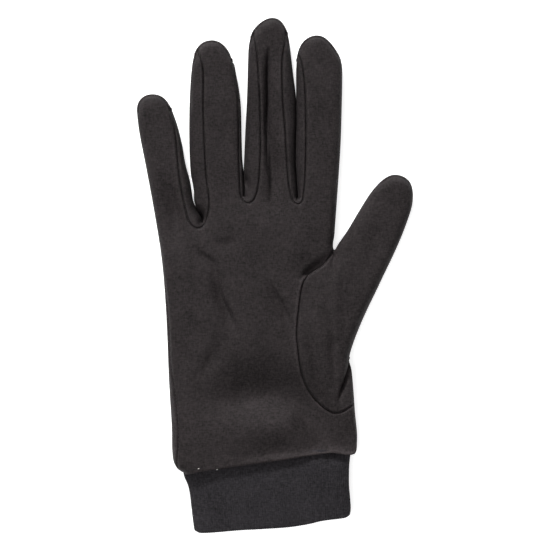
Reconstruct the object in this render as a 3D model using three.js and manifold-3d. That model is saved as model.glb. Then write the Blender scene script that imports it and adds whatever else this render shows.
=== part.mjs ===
// A right-hand glove liner of thin silk jersey with a ribbed knit cuff, lying on its back with the palm up.
// Millimetres. +X points to the thumb side, +Y to the fingertips and +Z up, out of the palm.
// The body cloth is one trank, folded on the index side and seamed on the little finger's side. It is made here as
// its palm half, the back of the hand and the backs of the four fingers, which part along that fold, that seam and
// the knuckles. Three fourchettes make the sides of the fingers, the thumb is a piece of its own set into a hole in
// the palm, and the cuff is a tube sewn to the wrist.
// Every piece is a hollow wall: a puffed outer form less the same form drawn in by the cloth's thickness.
import * as THREE from "three";
import { mergeVertices } from "three/addons/utils/BufferGeometryUtils.js";
import Module from "manifold-3d";

// Cloth
const clothWall = 1;
const cuffWall = 1.6;
const seamGap = 0.3;
const webInset = 3; // how far the seam round the root of two fingers lies below their crotch
const backInset = 2.6; // how far in from a finger's edge its seams lie on the back of the hand

// Palm
const palmWidth = 87.5;
const palmLength = 120.6;
const palmHeight = 12.6;

// Fingers: length from the knuckle line and drop of the root as shares of the palm's length, width as a share of
// the palm's width, and lean from +Y towards the thumb in degrees
const fingerTable = [
  { name: "little", length: 0.481, width: 0.217, lean: -10.6, drop: 0.036 },
  { name: "ring", length: 0.65, width: 0.2825, lean: -2.4, drop: 0 },
  { name: "middle", length: 0.7405, width: 0.2765, lean: 0.3, drop: 0 },
  { name: "index", length: 0.6715, width: 0.2445, lean: 0.5, drop: 0 },
];
const middleRoot = 0.022; // where the middle finger's axis meets the knuckle line, as a share of the palm's width
const fingerHeight = 9.6;
const fingerSpace = 0.7; // clear space between two fingers at their roots

// Thumb
const thumbLength = 46;
const thumbWidth = 26;
const thumbHeight = 14.4;
const thumbLean = 16.4;
const thumbHoleLift = 3.3; // height of the seam that joins the thumb's underside to the fold of the palm

// Cuff
const cuffWidth = 75.5;
const cuffLength = 29.2;
const cuffHeight = 10.4;
const cuffTuck = 2.4; // how far the cuff's upper edge lies inside the wrist of the trank
const wristTilt = 7; // degrees by which the wrist seam climbs towards the thumb

// Rows of a finger, from inside the palm to the tip. left and right are the edges, measured from the axis as
// shares of the width. seamLeft and seamRight are how far in from those edges the fourchette seams lie.
const fingerRows = {
  little: [
    { along: -0.34, left: 0.4, right: 0.44, crown: 0.6, seamLeft: 0, seamRight: 0.2 },
    { along: -0.16, left: 0.46, right: 0.5, crown: 0.88, seamLeft: 0, seamRight: 0.2 },
    { along: 0, left: 0.48, right: 0.49, crown: 1, seamLeft: 0, seamRight: 0.2 },
    { along: 0.2, left: 0.46, right: 0.52, crown: 1, seamLeft: 0, seamRight: 0.22 },
    { along: 0.4, left: 0.47, right: 0.51, crown: 1, seamLeft: 0, seamRight: 0.17 },
    { along: 0.6, left: 0.48, right: 0.52, crown: 1, seamLeft: 0, seamRight: 0.13 },
    { along: 0.76, left: 0.48, right: 0.48, crown: 0.96, seamLeft: 0, seamRight: 0.07 },
    { along: 0.87, left: 0.46, right: 0.43, crown: 0.88, seamLeft: 0, seamRight: 0.03 },
    { along: 0.94, left: 0.38, right: 0.33, crown: 0.76, seamLeft: 0, seamRight: 0 },
    { along: 0.98, left: 0.26, right: 0.24, crown: 0.62, seamLeft: 0, seamRight: 0 },
    { along: 1, left: 0.12, right: 0.12, crown: 0.46, seamLeft: 0, seamRight: 0 },
  ],
  ring: [
    { along: -0.3, left: 0.42, right: 0.42, crown: 0.6, seamLeft: 0.28, seamRight: 0.05 },
    { along: -0.13, left: 0.44, right: 0.45, crown: 0.88, seamLeft: 0.28, seamRight: 0.05 },
    { along: 0, left: 0.452, right: 0.46, crown: 1, seamLeft: 0.28, seamRight: 0.05 },
    { along: 0.16, left: 0.505, right: 0.467, crown: 1, seamLeft: 0.29, seamRight: 0.06 },
    { along: 0.34, left: 0.512, right: 0.472, crown: 1, seamLeft: 0.3, seamRight: 0.07 },
    { along: 0.52, left: 0.508, right: 0.492, crown: 1, seamLeft: 0.3, seamRight: 0.065 },
    { along: 0.67, left: 0.468, right: 0.485, crown: 1, seamLeft: 0.27, seamRight: 0.055 },
    { along: 0.79, left: 0.45, right: 0.435, crown: 0.96, seamLeft: 0.23, seamRight: 0.045 },
    { along: 0.88, left: 0.385, right: 0.35, crown: 0.88, seamLeft: 0.13, seamRight: 0.02 },
    { along: 0.94, left: 0.32, right: 0.275, crown: 0.78, seamLeft: 0.01, seamRight: 0 },
    { along: 0.98, left: 0.22, right: 0.19, crown: 0.62, seamLeft: 0, seamRight: 0 },
    { along: 1, left: 0.1, right: 0.1, crown: 0.46, seamLeft: 0, seamRight: 0 },
  ],
  middle: [
    { along: -0.26, left: 0.45, right: 0.45, crown: 0.6, seamLeft: 0.24, seamRight: 0.12 },
    { along: -0.12, left: 0.48, right: 0.49, crown: 0.88, seamLeft: 0.24, seamRight: 0.12 },
    { along: 0, left: 0.5, right: 0.505, crown: 1, seamLeft: 0.25, seamRight: 0.12 },
    { along: 0.14, left: 0.525, right: 0.5, crown: 1, seamLeft: 0.31, seamRight: 0.165 },
    { along: 0.3, left: 0.522, right: 0.495, crown: 1, seamLeft: 0.31, seamRight: 0.18 },
    { along: 0.48, left: 0.475, right: 0.482, crown: 1, seamLeft: 0.28, seamRight: 0.2 },
    { along: 0.66, left: 0.465, right: 0.452, crown: 1, seamLeft: 0.22, seamRight: 0.21 },
    { along: 0.8, left: 0.445, right: 0.386, crown: 0.97, seamLeft: 0.2, seamRight: 0.16 },
    { along: 0.885, left: 0.412, right: 0.355, crown: 0.9, seamLeft: 0.1, seamRight: 0.08 },
    { along: 0.925, left: 0.38, right: 0.32, crown: 0.84, seamLeft: 0.01, seamRight: 0.01 },
    { along: 0.97, left: 0.24, right: 0.23, crown: 0.68, seamLeft: 0, seamRight: 0 },
    { along: 1, left: 0.09, right: 0.09, crown: 0.46, seamLeft: 0, seamRight: 0 },
  ],
  index: [
    { along: -0.3, left: 0.4, right: 0.38, crown: 0.6, seamLeft: 0.13, seamRight: 0 },
    { along: -0.13, left: 0.42, right: 0.4, crown: 0.88, seamLeft: 0.13, seamRight: 0 },
    { along: 0, left: 0.422, right: 0.418, crown: 1, seamLeft: 0.13, seamRight: 0 },
    { along: 0.15, left: 0.438, right: 0.485, crown: 1, seamLeft: 0.16, seamRight: 0 },
    { along: 0.33, left: 0.449, right: 0.52, crown: 1, seamLeft: 0.2, seamRight: 0 },
    { along: 0.5, left: 0.458, right: 0.535, crown: 1, seamLeft: 0.22, seamRight: 0 },
    { along: 0.68, left: 0.468, right: 0.535, crown: 1, seamLeft: 0.2, seamRight: 0 },
    { along: 0.82, left: 0.48, right: 0.525, crown: 0.95, seamLeft: 0.14, seamRight: 0 },
    { along: 0.89, left: 0.46, right: 0.47, crown: 0.88, seamLeft: 0.05, seamRight: 0 },
    { along: 0.935, left: 0.39, right: 0.33, crown: 0.78, seamLeft: 0, seamRight: 0 },
    { along: 0.98, left: 0.26, right: 0.14, crown: 0.62, seamLeft: 0, seamRight: 0 },
    { along: 1, left: 0.12, right: 0.04, crown: 0.46, seamLeft: 0, seamRight: 0 },
  ],
};

// Rows of the palm, from the wrist seam to the knuckle line. lip runs from the cuff's size to the full form, and
// bowLeft and bowRight push the edges out from the straight line between wrist and knuckles, as shares of the width.
const palmRows = [
  { along: 0, lip: 0, bowLeft: 0, bowRight: 0, crown: 0.96, round: 2.6 },
  { along: 0.008, lip: 0.5, bowLeft: 0, bowRight: 0, crown: 0.96, round: 2.8 },
  { along: 0.024, lip: 0.86, bowLeft: 0, bowRight: 0, crown: 0.98, round: 3.2 },
  { along: 0.052, lip: 1, bowLeft: 0, bowRight: 0, crown: 1, round: 3.6 },
  { along: 0.1, lip: 1, bowLeft: -0.005, bowRight: 0.008, crown: 1.02, round: 4 },
  { along: 0.17, lip: 1, bowLeft: -0.011, bowRight: 0.007, crown: 1.04, round: 4 },
  { along: 0.24, lip: 1, bowLeft: -0.011, bowRight: 0.01, crown: 0.98, round: 4 },
  { along: 0.32, lip: 1, bowLeft: -0.01, bowRight: 0.011, crown: 0.93, round: 4 },
  { along: 0.41, lip: 1, bowLeft: -0.016, bowRight: 0.009, crown: 0.95, round: 4 },
  { along: 0.5, lip: 1, bowLeft: -0.022, bowRight: -0.01, crown: 1, round: 4 },
  { along: 0.6, lip: 1, bowLeft: -0.024, bowRight: -0.024, crown: 1.02, round: 4 },
  { along: 0.7, lip: 1, bowLeft: -0.026, bowRight: -0.03, crown: 1, round: 4 },
  { along: 0.8, lip: 1, bowLeft: -0.025, bowRight: -0.03, crown: 0.95, round: 3.8 },
  { along: 0.9, lip: 1, bowLeft: -0.014, bowRight: -0.026, crown: 0.88, round: 3.5 },
  { along: 1, lip: 1, bowLeft: 0, bowRight: 0, crown: 0.74, round: 3.2 },
];
const heelLeft = 0.503; // the palm's edges at the wrist, from its axis, as shares of the palm's width
const heelRight = 0.489;
const webRows = [
  { web: "little", along: 0.937 },
  { web: "ring", along: 1.036 },
  { web: "middle", along: 1.026 },
]; // where the crotch beside each finger lies, as a share of the palm's length

// Rows of the thumb, from the foot of its hole in the palm to the tip. root is the share of the buried length and
// free the share of the free length. left and right are shares of the thumb's width, floor and crown of its height.
const thumbFoot = { across: 0.348, along: 0.197 }; // shares of the palm's width and length
const thumbRoot = 0.58; // buried length as a share of the palm's length
const thumbRows = [
  { root: 0, free: 0, left: 0.12, right: 0.06, floor: 0.23, crown: 0.62 },
  { root: 0.09, free: 0, left: 0.45, right: 0.1, floor: 0.23, crown: 0.8 },
  { root: 0.2, free: 0, left: 0.72, right: 0.09, floor: 0.23, crown: 0.92 },
  { root: 0.36, free: 0, left: 0.97, right: 0.1, floor: 0.23, crown: 0.99 },
  { root: 0.54, free: 0, left: 1.13, right: 0.07, floor: 0.23, crown: 1 },
  { root: 0.72, free: 0, left: 1.17, right: 0.13, floor: 0.22, crown: 1 },
  { root: 0.88, free: 0, left: 1.02, right: 0.19, floor: 0.19, crown: 0.96 },
  { root: 1, free: 0, left: 0.82, right: 0.25, floor: 0.15, crown: 0.9 },
  { root: 1, free: 0.2, left: 0.69, right: 0.31, floor: 0.08, crown: 0.81 },
  { root: 1, free: 0.45, left: 0.56, right: 0.345, floor: 0.02, crown: 0.73 },
  { root: 1, free: 0.68, left: 0.44, right: 0.375, floor: 0, crown: 0.68 },
  { root: 1, free: 0.83, left: 0.355, right: 0.345, floor: 0, crown: 0.62 },
  { root: 1, free: 0.92, left: 0.25, right: 0.28, floor: 0, crown: 0.54 },
  { root: 1, free: 0.97, left: 0.16, right: 0.19, floor: 0, crown: 0.45 },
  { root: 1, free: 1, left: 0.06, right: 0.06, floor: 0, crown: 0.32 },
];
// The seam round the thumb's hole, as shares of the palm's width and length, from the wrist side round to the crotch.
const thumbHole = [
  { across: 0.478, along: 0.232 },
  { across: 0.435, along: 0.2 },
  { across: 0.37, along: 0.181 },
  { across: 0.288, along: 0.209 },
  { across: 0.228, along: 0.268 },
  { across: 0.185, along: 0.354 },
  { across: 0.163, along: 0.472 },
  { across: 0.168, along: 0.591 },
  { across: 0.207, along: 0.701 },
  { across: 0.25, along: 0.748 },
  { across: 0.304, along: 0.79 },
  { across: 0.37, along: 0.835 },
];

// Rows of the cuff, from the wrist seam to the folded hem. left and right are shares of the cuff's width.
const cuffRows = [
  { along: 0, left: 0.516, right: 0.522, crown: 1 },
  { along: 0.25, left: 0.497, right: 0.516, crown: 0.98 },
  { along: 0.5, left: 0.481, right: 0.516, crown: 0.96 },
  { along: 0.75, left: 0.47, right: 0.519, crown: 0.95 },
  { along: 0.95, left: 0.458, right: 0.526, crown: 0.95 },
  { along: 1, left: 0.448, right: 0.516, crown: 0.86 },
];
// How far the wrist seam and the hem depart from the straight tilted line, as shares of the cuff's width.
const wristWave = [
  { across: -0.56, rise: 0.024 },
  { across: -0.42, rise: 0 },
  { across: 0, rise: 0 },
  { across: 0.3, rise: 0.012 },
  { across: 0.46, rise: -0.012 },
  { across: 0.56, rise: -0.03 },
];
const hemWave = [
  { across: -0.5, rise: 0 },
  { across: -0.2, rise: 0 },
  { across: 0.03, rise: -0.023 },
  { across: 0.2, rise: -0.022 },
  { across: 0.32, rise: -0.004 },
  { across: 0.5, rise: 0 },
];

// Folds and dents of the upper side. across and along are shares of the palm's width and length. reach is the
// half width as a share of the palm's width, and sink the depth as a share of its height (a ridge is below 0).
const folds = [
  { name: "middle finger crease", from: [0.02, 1.63], to: [0.045, 1.1], reach: 0.022, sink: 0.22 },
  { name: "little finger hollow", from: [-0.57, 1.13], to: [-0.47, 0.9], reach: 0.045, sink: 0.13 },
  { name: "ring finger root dent", from: [-0.28, 1.06], to: [-0.22, 1], reach: 0.03, sink: 0.09 },
  { name: "outer palm fold", from: [-0.37, 0.87], to: [-0.23, 0.56], reach: 0.045, sink: 0.13 },
  { name: "outer palm ridge", from: [-0.27, 0.76], to: [-0.16, 0.54], reach: 0.05, sink: -0.06 },
  { name: "inner palm fold", from: [-0.01, 0.75], to: [0.12, 0.5], reach: 0.04, sink: 0.07 },
  { name: "heel hollow", from: [-0.3, 0.33], to: [0.16, 0.3], reach: 0.13, sink: 0.13 },
  { name: "wrist hollow", from: [-0.05, 0.075], to: [0.42, 0.13], reach: 0.06, sink: 0.12 },
  { name: "thumb crotch fold", from: [0.22, 0.73], to: [0.36, 0.82], reach: 0.035, sink: 0.3 },
  { name: "thumb foot crease", from: [0.45, 0.4], to: [0.395, 0.25], reach: 0.025, sink: 0.3 },
  { name: "thumb ball dent", from: [0.23, 0.4], to: [0.3, 0.25], reach: 0.035, sink: 0.09 },
];

// Facets
const palmColumns = 18;
const fingerColumns = 7;
const thumbColumns = 10;
const cuffColumns = 20;
const middleShare = 0.44; // height of the widest line of a puffed form, as a share of its height
const through = 40; // how far a cutting prism runs past the work

const wasm = await Module();
wasm.setup();

const materials = {
  jersey: new THREE.MeshStandardMaterial({ color: 0x342f2f, roughness: 0.85, metalness: 0 }),
  gusset: new THREE.MeshStandardMaterial({ color: 0x302b2b, roughness: 0.85, metalness: 0 }),
  rib: new THREE.MeshStandardMaterial({ color: 0x302d31, roughness: 0.95, metalness: 0 }),
};

// The value of one column of a table at a place along it, eased between its rows.
function read(table, key, column, place) {
  const last = table.length - 1;
  if (place <= table[0][key]) return table[0][column];
  if (place >= table[last][key]) return table[last][column];
  const i = table.findIndex((row) => row[key] > place) - 1;
  const [a, b] = [table[i], table[i + 1]];
  const before = table[Math.max(i - 1, 0)];
  const after = table[Math.min(i + 2, last)];
  const slope = (p, q) => (q[column] - p[column]) / Math.max(q[key] - p[key], 1e-6);
  const span = b[key] - a[key];
  const here = slope(a, b);
  const even = (s) => (s * here <= 0 ? 0 : (2 * s * here) / (s + here));
  const [start, end] = [even(slope(before, a) || here), even(slope(b, after) || here)];
  const t = (place - a[key]) / span;
  const [t2, t3] = [t * t, t * t * t];
  return (
    (2 * t3 - 3 * t2 + 1) * a[column] +
    (t3 - 2 * t2 + t) * span * start +
    (3 * t2 - 2 * t3) * b[column] +
    (t3 - t2) * span * end
  );
}

const mix = (a, b, share) => a + (b - a) * share;

// The swell of a puffed section: 1 over the middle and 0 at the edges, at share t of the half width.
const swell = (t, round) => Math.pow(Math.max(0, 1 - Math.pow(Math.abs(t), round)), 1 / round);

// The same for the under side, which lies flat on the surface over most of its width.
const bedded = (t, round) => Math.min(1, 1.03 * swell(t, round));

// How far the upper side sinks into the folds at a point of the plan.
function sunk(x, y) {
  return folds.reduce((sum, { from, to, reach, sink }) => {
    const [ax, ay] = [from[0] * palmWidth, from[1] * palmLength];
    const [bx, by] = [to[0] * palmWidth, to[1] * palmLength];
    const length2 = (bx - ax) ** 2 + (by - ay) ** 2;
    const share = ((x - ax) * (bx - ax) + (y - ay) * (by - ay)) / length2;
    const near = THREE.MathUtils.clamp(share, 0, 1);
    const away = Math.hypot(x - mix(ax, bx, near), y - mix(ay, by, near));
    return sum + sink * palmHeight * Math.exp(-((away / (reach * palmWidth)) ** 2));
  }, 0);
}

// A closed form from rows of sections. plan(row, t) gives a point of the plan, and rise(row, t) the heights of
// the upper and lower side there, where t runs from -1 at the left edge to 1 at the right edge.
function puffed(rows, columns, plan, rise) {
  const places = Array.from({ length: columns + 1 }, (_, k) => {
    const even = (2 * k) / columns - 1;
    return 0.45 * even + 0.55 * Math.sin((even * Math.PI) / 2);
  });
  const points = [];
  const ring = rows.map((row) => {
    const sides = places.map((t) => {
      const [x, y] = plan(row, t);
      const [upper, lower] = rise(row, t, x, y);
      return [new THREE.Vector3(x, y, upper), new THREE.Vector3(x, y, lower)];
    });
    const start = points.length;
    points.push(...sides.map((side) => side[0]), ...sides.slice(1, -1).map((side) => side[1]).reverse());
    return Array.from({ length: 2 * columns }, (_, k) => start + k);
  });
  const faces = [];
  for (let r = 0; r < ring.length - 1; r++)
    for (let k = 0; k < 2 * columns; k++) {
      const next = (k + 1) % (2 * columns);
      const [a, b, c, d] = [ring[r][k], ring[r][next], ring[r + 1][next], ring[r + 1][k]];
      faces.push(a, b, c, a, c, d);
    }
  const cap = (loop, flip) => {
    for (let k = 0; k < columns; k++) {
      const [a, b] = [loop[k], loop[k + 1]];
      const [c, d] = [loop[(2 * columns - k - 1) % (2 * columns)], loop[(2 * columns - k) % (2 * columns)]];
      const pair = [a, b, c, a, c, d];
      faces.push(...(flip ? pair : pair.reverse()));
    }
  };
  cap(ring[0], false);
  cap(ring[ring.length - 1], true);
  return solidFrom(points, faces);
}

// A solid from corner points and triangles, without the triangles that collapsed to a line.
function solidFrom(points, faces) {
  const geometry = new THREE.BufferGeometry().setFromPoints(points);
  geometry.setIndex(faces);
  return solidOf(geometry);
}

function solidOf(geometry) {
  const bare = new THREE.BufferGeometry().setAttribute("position", geometry.getAttribute("position"));
  bare.setIndex(geometry.index);
  const merged = mergeVertices(bare, 1e-4);
  const corners = merged.index.array;
  const kept = [];
  for (let i = 0; i < corners.length; i += 3) {
    const [a, b, c] = corners.slice(i, i + 3);
    if (a !== b && b !== c && c !== a) kept.push(a, b, c);
  }
  return new wasm.Manifold(
    new wasm.Mesh({
      numProp: 3,
      vertProperties: merged.getAttribute("position").array,
      triVerts: new Uint32Array(kept),
    }),
  );
}

// A straight prism over an outline of the plan.
function prism(outline, low, high) {
  const shape = new THREE.Shape(outline.map(([x, y]) => new THREE.Vector2(x, y)));
  const geometry = new THREE.ExtrudeGeometry(shape, { depth: high - low, bevelEnabled: false });
  return solidOf(geometry.translate(0, 0, low));
}

function meshOf(name, solid, material) {
  const made = solid.getMesh();
  const geometry = new THREE.BufferGeometry();
  geometry.setAttribute("position", new THREE.BufferAttribute(Float32Array.from(made.vertProperties), 3));
  geometry.setIndex(new THREE.BufferAttribute(Uint32Array.from(made.triVerts), 1));
  geometry.computeVertexNormals();
  const mesh = new THREE.Mesh(geometry, material);
  mesh.name = name;
  return mesh;
}

// The knuckle line, with the roots of the fingers side by side.
const fingers = fingerTable.map(({ name, length, width, lean, drop }) => ({
  name,
  length: length * palmLength,
  width: width * palmWidth,
  drop: drop * palmLength,
  slant: THREE.MathUtils.degToRad(lean),
  rows: fingerRows[name],
}));
const rootEdge = (finger, side) => read(finger.rows, "along", side, 0) * finger.width;
const [little, ring, middle, index] = fingers;
middle.root = middleRoot * palmWidth;
ring.root = middle.root - rootEdge(middle, "left") - fingerSpace - rootEdge(ring, "right");
little.root = ring.root - rootEdge(ring, "left") - fingerSpace - rootEdge(little, "right");
index.root = middle.root + rootEdge(middle, "right") + fingerSpace + rootEdge(index, "left");
const knuckleLeft = little.root - rootEdge(little, "left");
const knuckleRight = index.root + rootEdge(index, "right");
const webs = webRows.map(({ web, along }, i) => ({
  left: fingers.find((finger) => finger.name === web),
  right: fingers[i + 1],
  x: (fingers[i].root + rootEdge(fingers[i], "right") + fingers[i + 1].root - rootEdge(fingers[i + 1], "left")) / 2,
  y: along * palmLength,
}));
const knuckleLine = [
  { x: knuckleLeft, y: webs[0].y },
  ...webs,
  { x: knuckleRight, y: webs[2].y },
];

// The wrist line and the hem, both tilted towards the thumb.
const tilt = Math.tan(THREE.MathUtils.degToRad(wristTilt));
const wristY = (x) => x * tilt + read(wristWave, "across", "rise", x / cuffWidth) * cuffWidth;
const hemY = (x) => x * tilt - cuffLength + read(hemWave, "across", "rise", x / cuffWidth) * cuffWidth;

// A finger, drawn in by inset. The root rows lie inside the palm.
function fingerForm(finger, inset) {
  const { rows, root, slant, width, length } = finger;
  const [dx, dy] = [Math.sin(slant), Math.cos(slant)];
  const plan = (row, t) => {
    const along = row.along * (length - inset);
    const out = t * ((t < 0 ? row.left : row.right) * width - inset);
    return [root + dx * along + dy * out, palmLength - finger.drop + dy * along - dx * out];
  };
  const rise = (row, t, x, y) => {
    const crown = row.crown * fingerHeight;
    const middleZ = crown * middleShare;
    const sink = Math.min(sunk(x, y), crown * 0.4) * swell(t, 2);
    return [
      middleZ + (crown - inset - middleZ) * swell(t, 2.3) - sink,
      middleZ - (middleZ - inset) * bedded(t, 4.5),
    ];
  };
  return puffed(rows, fingerColumns, plan, rise);
}

// The palm's edges at a share of its length.
function palmEdges(along) {
  const bow = (column) => read(palmRows, "along", column, along) * palmWidth;
  return [
    mix(-heelLeft * palmWidth, knuckleLeft, along) - bow("bowLeft"),
    mix(heelRight * palmWidth, knuckleRight, along) + bow("bowRight"),
  ];
}

// The palm, drawn in by inset. Its wrist end closes on the cuff, and the inner form runs out through it.
function palmForm(inset) {
  const lipCrown = cuffHeight + seamGap + clothWall;
  const rows = inset ? [{ ...palmRows[0], past: true }, ...palmRows] : palmRows;
  const plan = (row, t) => {
    const [left, right] = palmEdges(row.along);
    const lipLeft = -cuffRows[0].left * cuffWidth - seamGap - clothWall;
    const lipRight = cuffRows[0].right * cuffWidth + seamGap + clothWall;
    const edge = t < 0 ? -mix(lipLeft, left, row.lip) : mix(lipRight, right, row.lip);
    const x = t * (edge - inset);
    const top = read(knuckleLine, "x", "y", x) - inset;
    const y = mix(wristY(x), top, row.along);
    return [x, row.past ? y - 2 * clothWall : y];
  };
  const rise = (row, t, x, y) => {
    const crown = mix(lipCrown, row.crown * palmHeight, row.lip);
    const middleZ = crown * middleShare;
    const sink = Math.min(sunk(x, y), crown * 0.4) * swell(t, 2) * row.lip;
    return [
      middleZ + (crown - inset - middleZ) * swell(t, row.round) - sink,
      middleZ - (middleZ - inset) * bedded(t, row.round + 2),
    ];
  };
  return puffed(rows, palmColumns, plan, rise);
}

// The thumb, drawn in by inset, from inside the palm to the tip.
function thumbForm(inset) {
  const slant = THREE.MathUtils.degToRad(thumbLean);
  const [dx, dy] = [Math.sin(slant), Math.cos(slant)];
  const [footX, footY] = [thumbFoot.across * palmWidth, thumbFoot.along * palmLength];
  const plan = (row, t) => {
    const along = row.root * thumbRoot * palmLength + row.free * (thumbLength - inset) + (row.root ? 0 : inset);
    const out = t * ((t < 0 ? row.left : row.right) * thumbWidth - inset);
    return [footX + dx * along + dy * out, footY + dy * along - dx * out];
  };
  const rise = (row, t, x, y) => {
    const [floor, crown] = [row.floor * thumbHeight, row.crown * thumbHeight];
    const middleZ = mix(floor, crown, middleShare);
    const sink = Math.min(sunk(x, y), (crown - floor) * 0.4) * swell(t, 2);
    return [
      middleZ + (crown - inset - middleZ) * swell(t, 2.3) - sink,
      middleZ - (middleZ - floor - inset) * bedded(t, 4),
    ];
  };
  return puffed(thumbRows, thumbColumns, plan, rise);
}

// The cuff, drawn in by inset, or out where that is below 0. Its upper end is tucked into the trank. Drawn in or
// out it runs past both ends, to cut the hollow of the cuff or the room for it in the trank.
function cuffForm(inset) {
  const past = Math.abs(inset);
  const first = { ...cuffRows[0], tuck: cuffTuck + past };
  const last = { ...cuffRows[cuffRows.length - 1], past };
  const rows = inset ? [first, ...cuffRows, last] : [first, ...cuffRows];
  const plan = (row, t) => {
    const x = t * ((t < 0 ? row.left : row.right) * cuffWidth - inset);
    const y = mix(wristY(x), hemY(x), row.along);
    return [x, y + (row.tuck || 0) - (row.past || 0)];
  };
  const rise = (row, t) => {
    const crown = row.crown * cuffHeight;
    const floor = mix(clothWall + seamGap, 0, Math.min(1, row.along * 4));
    const middleZ = (cuffHeight + seamGap + clothWall) * middleShare;
    return [
      middleZ + (crown - inset - middleZ) * swell(t, 2.6),
      middleZ - (middleZ - floor - inset) * bedded(t, 4.6),
    ];
  };
  return puffed([...rows].reverse(), cuffColumns, plan, rise);
}

// The seam of a fourchette on one finger, as points of the plan from the root to the tip, where it runs out over
// the finger's edge. The gap moves it towards the finger's axis.
function seamPoints(finger, side, onBack, gap) {
  const { rows, root, slant, width, length } = finger;
  const [dx, dy] = [Math.sin(slant), Math.cos(slant)];
  const hand = side === "left" ? -1 : 1;
  const seam = side === "left" ? "seamLeft" : "seamRight";
  const place = (along, out) => [
    root + dx * along + dy * hand * out,
    palmLength - finger.drop + dy * along - dx * hand * out,
  ];
  const end = rows.findIndex((row) => row.along > 0 && row[seam] === 0);
  const points = rows
    .slice(0, end + 1)
    .filter((row) => row.along >= 0)
    .map((row) => {
      const inward = onBack ? Math.min(backInset, row[seam] * width) : row[seam] * width;
      return place(row.along * length, row[side] * width - inward - gap);
    });
  const widest = Math.max(...rows.map((row) => row[side])) * width;
  return [...points, place(rows[end].along * length, widest + fingerSpace / 2)];
}

// The outline of a fourchette in plan: up one finger's seam, and down the next one's, round under the crotch.
function fourchetteOutline(web, onBack, gap) {
  const above = ([, y]) => y > web.y + webInset;
  const left = seamPoints(web.left, "right", onBack, gap).filter(above);
  const right = seamPoints(web.right, "left", onBack, gap).filter(above);
  const [from, to] = [right[0][0], left[0][0]];
  const foot = Array.from({ length: 7 }, (_, k) => {
    const turn = (Math.PI * (k + 1)) / 8;
    const [middleX, half] = [(from + to) / 2, (from - to) / 2];
    return [middleX + half * Math.cos(turn), web.y - (webInset + gap) * Math.sin(turn)];
  });
  return [...left, ...right.reverse(), ...foot];
}

function fourchetteZone(web, gap) {
  const split = fingerHeight * middleShare;
  return prism(fourchetteOutline(web, false, gap), split - clothWall, through).add(
    prism(fourchetteOutline(web, true, gap), -through, split),
  );
}

// The thumb's share of the cloth: all that lies over its hole, above the fold of the palm, and all beyond that fold.
function thumbZone(gap) {
  const centre = { across: 0.42, along: 0.5 };
  const hole = thumbHole.map(({ across, along }) => {
    const [x, y] = [across * palmWidth, along * palmLength];
    const [ox, oy] = [x - centre.across * palmWidth, y - centre.along * palmLength];
    const grow = 1 + gap / Math.hypot(ox, oy);
    return [centre.across * palmWidth + ox * grow, centre.along * palmLength + oy * grow];
  });
  const shares = Array.from({ length: 9 }, (_, k) => mix(thumbHole[0].along, thumbHole.at(-1).along, k / 8));
  const fold = shares.map((along) => {
    const x = palmEdges(along)[1];
    return [x + seamGap - gap, mix(wristY(x), read(knuckleLine, "x", "y", x), along)];
  });
  const [beyond, top] = [knuckleRight + thumbLength + through, palmLength + thumbLength];
  const foot = hole[0];
  const crotch = hole.at(-1);
  const besideIndex = index.root + index.width * 0.6;
  const past = [[besideIndex, crotch[1] + 2 * (besideIndex - crotch[0])], [besideIndex, top], [beyond, top]];
  const over = [...hole, ...past, [beyond, foot[1]]];
  const under = [...fold, ...past, [beyond, fold[0][1]]];
  return prism(over, thumbHoleLift - gap, through).add(prism(under, -through, thumbHoleLift + clothWall));
}

// The whole skin, and then its pieces.
const union = (solids) => solids.reduce((sum, solid) => sum.add(solid));
const outer = union([palmForm(0), thumbForm(0), ...fingers.map((finger) => fingerForm(finger, 0))]);
const hollow = union([
  palmForm(clothWall),
  thumbForm(clothWall),
  ...fingers.map((finger) => fingerForm(finger, clothWall)),
]);
const skin = outer.subtract(hollow);
const thumb = skin.intersect(thumbZone(0));
const rest = skin.subtract(thumbZone(seamGap)).subtract(cuffForm(-seamGap));
const fourchettes = webs.map((web) => rest.intersect(fourchetteZone(web, 0)));
const trank = webs.reduce((cloth, web) => cloth.subtract(fourchetteZone(web, seamGap)), rest);
const parting = fingerHeight * middleShare;
const reach = palmWidth + thumbLength + through;
const ends = { left: [-reach, -reach], right: [reach, reach] };
const strip = (low, high, { left, right }, bottom, top) =>
  prism([[left[0], low], [right[0], low], [right[1], high], [left[1], high]], bottom, top);
const palmHalf = trank.intersect(strip(-reach, palmLength + reach, ends, parting + seamGap / 2, through));
const backHalf = trank.intersect(strip(-reach, palmLength + reach, ends, -through, parting - seamGap / 2));

// The backs of the fingers begin at the knuckles, where the highest crotch lies.
const knuckles = Math.max(...webs.map((web) => web.y));
const handBack = backHalf.intersect(strip(-reach, knuckles - seamGap / 2, ends, -through, through));
const between = webs.map((web) => {
  const slant = (web.left.slant + web.right.slant) / 2;
  const place = (y) => web.x + (y - web.y) * Math.tan(slant);
  return [place(knuckles), place(palmLength + reach)];
});
const fingerBacks = fingers.map((finger, i) => {
  const sides = { left: between[i - 1] ?? ends.left, right: between[i] ?? ends.right };
  return backHalf.intersect(strip(knuckles + seamGap / 2, palmLength + reach, sides, -through, through));
});
const cuff = cuffForm(0).subtract(cuffForm(cuffWall));

const glove = new THREE.Group();
glove.add(meshOf("trank_palm", palmHalf, materials.jersey));
glove.add(meshOf("trank_back", handBack, materials.jersey));
fingers.forEach((finger, i) => glove.add(meshOf(`trank_back_${finger.name}`, fingerBacks[i], materials.jersey)));
glove.add(meshOf("thumb", thumb, materials.jersey));
webs.forEach((web, i) =>
  glove.add(meshOf(`fourchette_${web.left.name}_${web.right.name}`, fourchettes[i], materials.gusset)),
);
glove.add(meshOf("cuff", cuff, materials.rib));

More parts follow.
